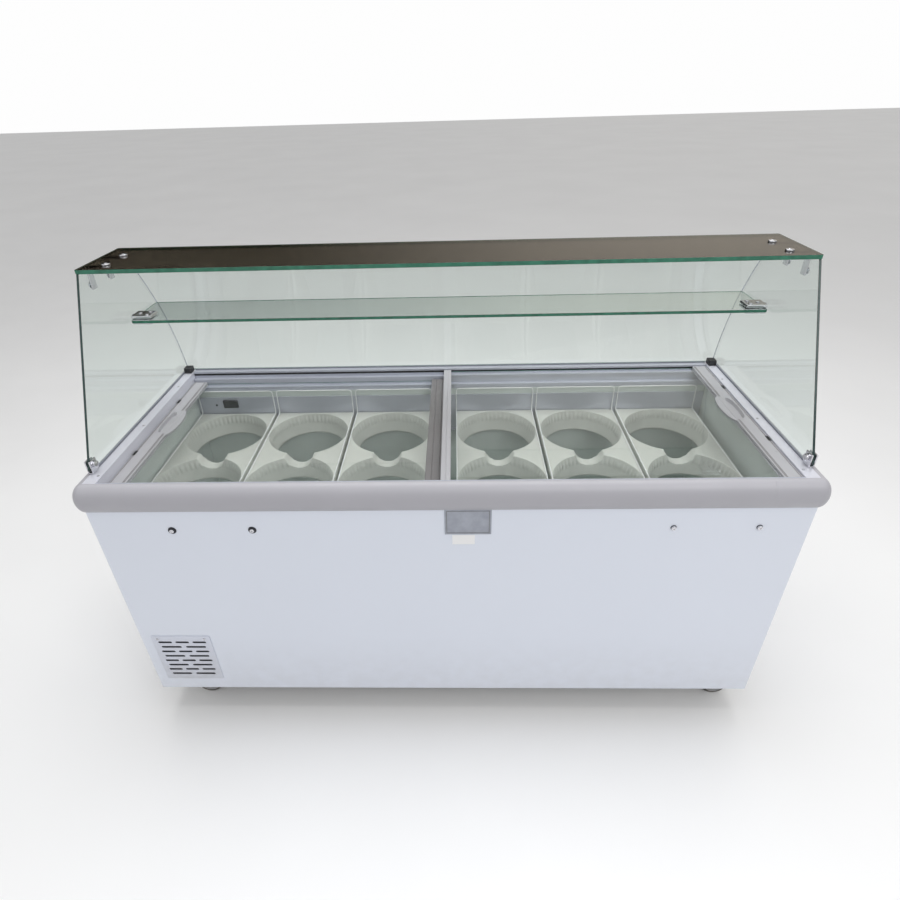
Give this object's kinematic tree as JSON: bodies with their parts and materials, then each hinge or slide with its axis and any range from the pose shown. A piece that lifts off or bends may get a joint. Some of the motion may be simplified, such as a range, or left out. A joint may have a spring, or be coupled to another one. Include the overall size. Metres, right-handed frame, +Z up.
{
  "type": "dipping chest freezer",
  "caption": "Low chest freezer for scooping ice cream, with sliding glass lids, tub trays, a glass guard with a shelf, and swivel casters.",
  "frame": {"origin": "on the floor under the middle of the cabinet's bounding box", "axes": "+Z up, +X along the cabinet to the right as seen from the operator's side, -Y towards the operator, +Y towards the customer"},
  "size_m": [1.8, 0.705, 1.3169],
  "materials": {
    "white_paint": "gloss",
    "galvanised": "matte",
    "liner_plastic": "satin",
    "foam": "matte",
    "copper": "satin",
    "aluminium": "satin",
    "bumper_plastic": "satin",
    "glass": "clear",
    "chrome": "polished",
    "black_plastic": "matte",
    "lid_plastic": "satin",
    "tray_plastic": "matte",
    "black_metal": "satin",
    "matte_grey": "matte",
    "foil": "satin",
    "zinc": "satin",
    "tread": "matte"
  },
  "bodies": {
    "cabinet": {"front_panel": "white_paint", "rear_panel": "white_paint", "left_panel": "white_paint", "right_panel": "white_paint", "vent_grille": "white_paint", "base_pan": "galvanised", "inner_liner": "liner_plastic", "insulation_foam": "foam", "evaporator_coil": "copper", "track_front": "aluminium", "track_rear": "aluminium", "track_left": "aluminium", "track_right": "aluminium", "tray_rail_front": "aluminium", "tray_rail_rear": "aluminium", "bumper_front": "bumper_plastic", "bumper_rear": "bumper_plastic", "bumper_left": "bumper_plastic", "bumper_right": "bumper_plastic", "side_glass_left": "glass", "side_glass_right": "glass", "customer_glass": "glass", "top_glass": "glass", "shelf_glass": "glass", "top_bracket_left_near": "chrome", "top_bracket_left_far": "chrome", "top_bracket_right_near": "chrome", "top_bracket_right_far": "chrome", "shelf_clamp_left": "chrome", "shelf_clamp_right": "chrome", "base_bracket_left": "chrome", "base_bracket_right": "chrome", "corner_clip_left": "black_plastic", "corner_clip_right": "black_plastic", "cord_gland": "black_plastic", "tub_tray_1": "tray_plastic", "tub_tray_2": "tray_plastic", "tub_tray_3": "tray_plastic", "tub_tray_4": "tray_plastic", "tub_tray_5": "tray_plastic", "tub_tray_6": "tray_plastic", "compressor": "black_metal", "condenser": "black_metal", "fan_motor": "black_metal", "rating_plate": "foil"},
    "lid_left": {"lid_left_glass": "glass", "lid_left_outer_stile": "lid_plastic", "lid_left_inner_stile": "lid_plastic"},
    "lid_right": {"lid_right_glass": "glass", "lid_right_outer_stile": "lid_plastic", "lid_right_inner_stile": "lid_plastic"},
    "fan": {"fan_blade": "matte_grey"},
    "fork_front_left": {"caster_fork_front_left": "zinc"},
    "wheel_front_left": {"caster_wheel_front_left": "tread"},
    "fork_front_right": {"caster_fork_front_right": "zinc"},
    "wheel_front_right": {"caster_wheel_front_right": "tread"},
    "fork_rear_left": {"caster_fork_rear_left": "zinc"},
    "wheel_rear_left": {"caster_wheel_rear_left": "tread"},
    "fork_rear_right": {"caster_fork_rear_right": "zinc"},
    "wheel_rear_right": {"caster_wheel_rear_right": "tread"}
  },
  "joints": [
    {"name": "lid_left_slide", "type": "slide", "parent": "cabinet", "child": "lid_left", "axis": [1, 0, 0], "range_m": [0, 0.83]},
    {"name": "lid_right_slide", "type": "slide", "parent": "cabinet", "child": "lid_right", "axis": [1, 0, 0], "range_m": [-0.826, 0]},
    {"name": "fan_spin", "type": "hinge", "parent": "cabinet", "child": "fan", "pos_m": [-0.756, -0.25, 0.236], "axis": [0, 1, 0], "continuous": true},
    {"name": "swivel_front_left", "type": "hinge", "parent": "cabinet", "child": "fork_front_left", "pos_m": [-0.8, -0.265, 0.1], "axis": [0, 0, 1], "continuous": true},
    {"name": "roll_front_left", "type": "hinge", "parent": "fork_front_left", "child": "wheel_front_left", "pos_m": [-0.772, -0.265, 0.0375], "axis": [0, 1, 0], "continuous": true},
    {"name": "swivel_front_right", "type": "hinge", "parent": "cabinet", "child": "fork_front_right", "pos_m": [0.8, -0.265, 0.1], "axis": [0, 0, 1], "continuous": true},
    {"name": "roll_front_right", "type": "hinge", "parent": "fork_front_right", "child": "wheel_front_right", "pos_m": [0.828, -0.265, 0.0375], "axis": [0, 1, 0], "continuous": true},
    {"name": "swivel_rear_left", "type": "hinge", "parent": "cabinet", "child": "fork_rear_left", "pos_m": [-0.8, 0.265, 0.1], "axis": [0, 0, 1], "continuous": true},
    {"name": "roll_rear_left", "type": "hinge", "parent": "fork_rear_left", "child": "wheel_rear_left", "pos_m": [-0.772, 0.265, 0.0375], "axis": [0, 1, 0], "continuous": true},
    {"name": "swivel_rear_right", "type": "hinge", "parent": "cabinet", "child": "fork_rear_right", "pos_m": [0.8, 0.265, 0.1], "axis": [0, 0, 1], "continuous": true},
    {"name": "roll_rear_right", "type": "hinge", "parent": "fork_rear_right", "child": "wheel_rear_right", "pos_m": [0.828, 0.265, 0.0375], "axis": [0, 1, 0], "continuous": true}
  ]
}
